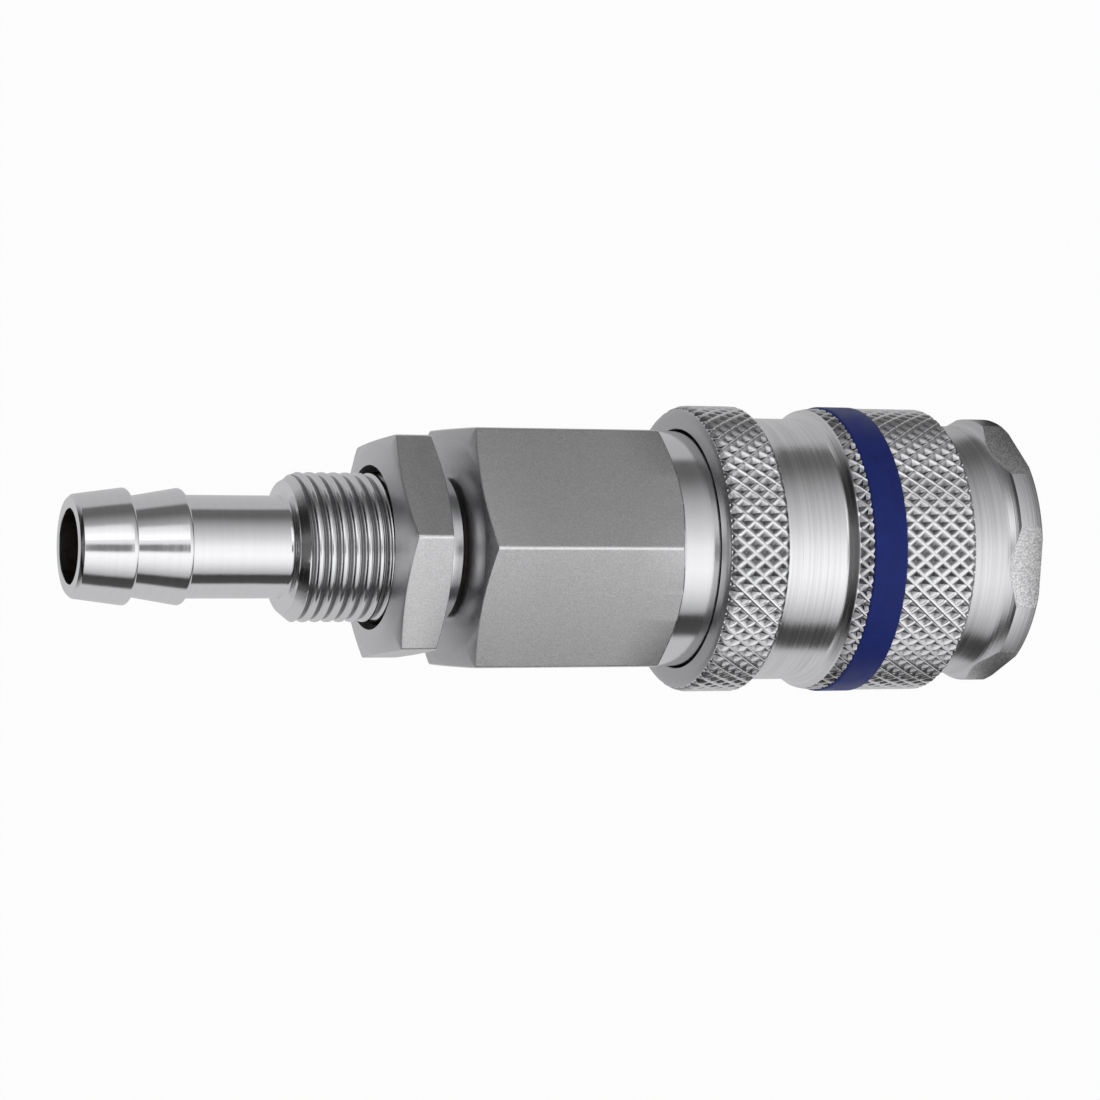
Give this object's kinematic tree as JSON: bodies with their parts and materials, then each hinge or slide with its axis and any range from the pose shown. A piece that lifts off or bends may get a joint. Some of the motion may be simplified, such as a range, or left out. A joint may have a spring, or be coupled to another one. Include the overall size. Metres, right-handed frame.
{
  "type": "air quick coupling",
  "caption": "Quick coupling for compressed air: knurled sliding sleeve with a blue ring, hexagon body, bulkhead thread with jam nut, and a barbed hose tail.",
  "frame": {"origin": "centre of the flat face round the mouth, which the part stands on", "axes": "+Z along the coupling's axis, towards the hose tail; -Y through a corner of the hexagon"},
  "size_m": [0.0236, 0.0236, 0.079],
  "materials": {
    "turned_steel": "turned, zinc plated",
    "sleeve_steel": "knurled, zinc plated",
    "blue_ring": "satin",
    "bar_steel": "drawn bar, plated, slightly grainy",
    "ball_steel": "polished",
    "spring_steel": "drawn wire",
    "rubber": "moulded",
    "brass": "turned"
  },
  "bodies": {
    "body": {"front_body": "turned_steel", "rear_body": "bar_steel", "plug_seal": "rubber", "seal_retainer": "brass", "valve_spring": "spring_steel", "valve_guide": "brass", "body_seal": "rubber"},
    "sleeve_spring": {"sleeve_spring": "spring_steel"},
    "sleeve": {"sleeve": "sleeve_steel", "colour_ring": "blue_ring"},
    "valve": {"valve_body": "brass", "valve_seal": "rubber"},
    "jam_nut": {"jam_nut": "bar_steel"},
    "ball_1": {"ball_1": "ball_steel"},
    "ball_2": {"ball_2": "ball_steel"},
    "ball_3": {"ball_3": "ball_steel"},
    "ball_4": {"ball_4": "ball_steel"},
    "ball_5": {"ball_5": "ball_steel"},
    "ball_6": {"ball_6": "ball_steel"}
  },
  "joints": [
    {"name": "sleeve_turn", "type": "hinge", "parent": "body", "child": "sleeve_spring", "pos_m": [0, 0, 0.0195], "axis": [0, 0, 1], "continuous": true},
    {"name": "sleeve_slide", "type": "slide", "parent": "sleeve_spring", "child": "sleeve", "axis": [0, 0, 1], "range_m": [0, 0.0023], "stiffness_N_per_m": 2500, "springref_m": -0.004, "deforming": ["sleeve_spring"]},
    {"name": "valve_slide", "type": "slide", "parent": "body", "child": "valve", "axis": [0, 0, 1], "range_m": [0, 0.003], "stiffness_N_per_m": 600, "springref_m": -0.004, "deforming": ["valve_spring"]},
    {"name": "nut_slide", "type": "slide", "parent": "body", "child": "jam_nut", "axis": [0, 0, 1], "range_m": [-0.0018, 0.007]},
    {"name": "ball_1_slide", "type": "slide", "parent": "body", "child": "ball_1", "axis": [1, 0, 0], "range_m": [0, 0.00092]},
    {"name": "ball_2_slide", "type": "slide", "parent": "body", "child": "ball_2", "axis": [0.5, 0.866, 0], "range_m": [0, 0.00092]},
    {"name": "ball_3_slide", "type": "slide", "parent": "body", "child": "ball_3", "axis": [-0.5, 0.866, 0], "range_m": [0, 0.00092]},
    {"name": "ball_4_slide", "type": "slide", "parent": "body", "child": "ball_4", "axis": [-1, 0, 0], "range_m": [0, 0.00092]},
    {"name": "ball_5_slide", "type": "slide", "parent": "body", "child": "ball_5", "axis": [-0.5, -0.866, 0], "range_m": [0, 0.00092]},
    {"name": "ball_6_slide", "type": "slide", "parent": "body", "child": "ball_6", "axis": [0.5, -0.866, 0], "range_m": [0, 0.00092]}
  ],
  "couplings": [
    {"joint": "ball_1_slide", "follows": "sleeve_slide", "ratio": 0.4},
    {"joint": "ball_2_slide", "follows": "sleeve_slide", "ratio": 0.4},
    {"joint": "ball_3_slide", "follows": "sleeve_slide", "ratio": 0.4},
    {"joint": "ball_4_slide", "follows": "sleeve_slide", "ratio": 0.4},
    {"joint": "ball_5_slide", "follows": "sleeve_slide", "ratio": 0.4},
    {"joint": "ball_6_slide", "follows": "sleeve_slide", "ratio": 0.4}
  ]
}
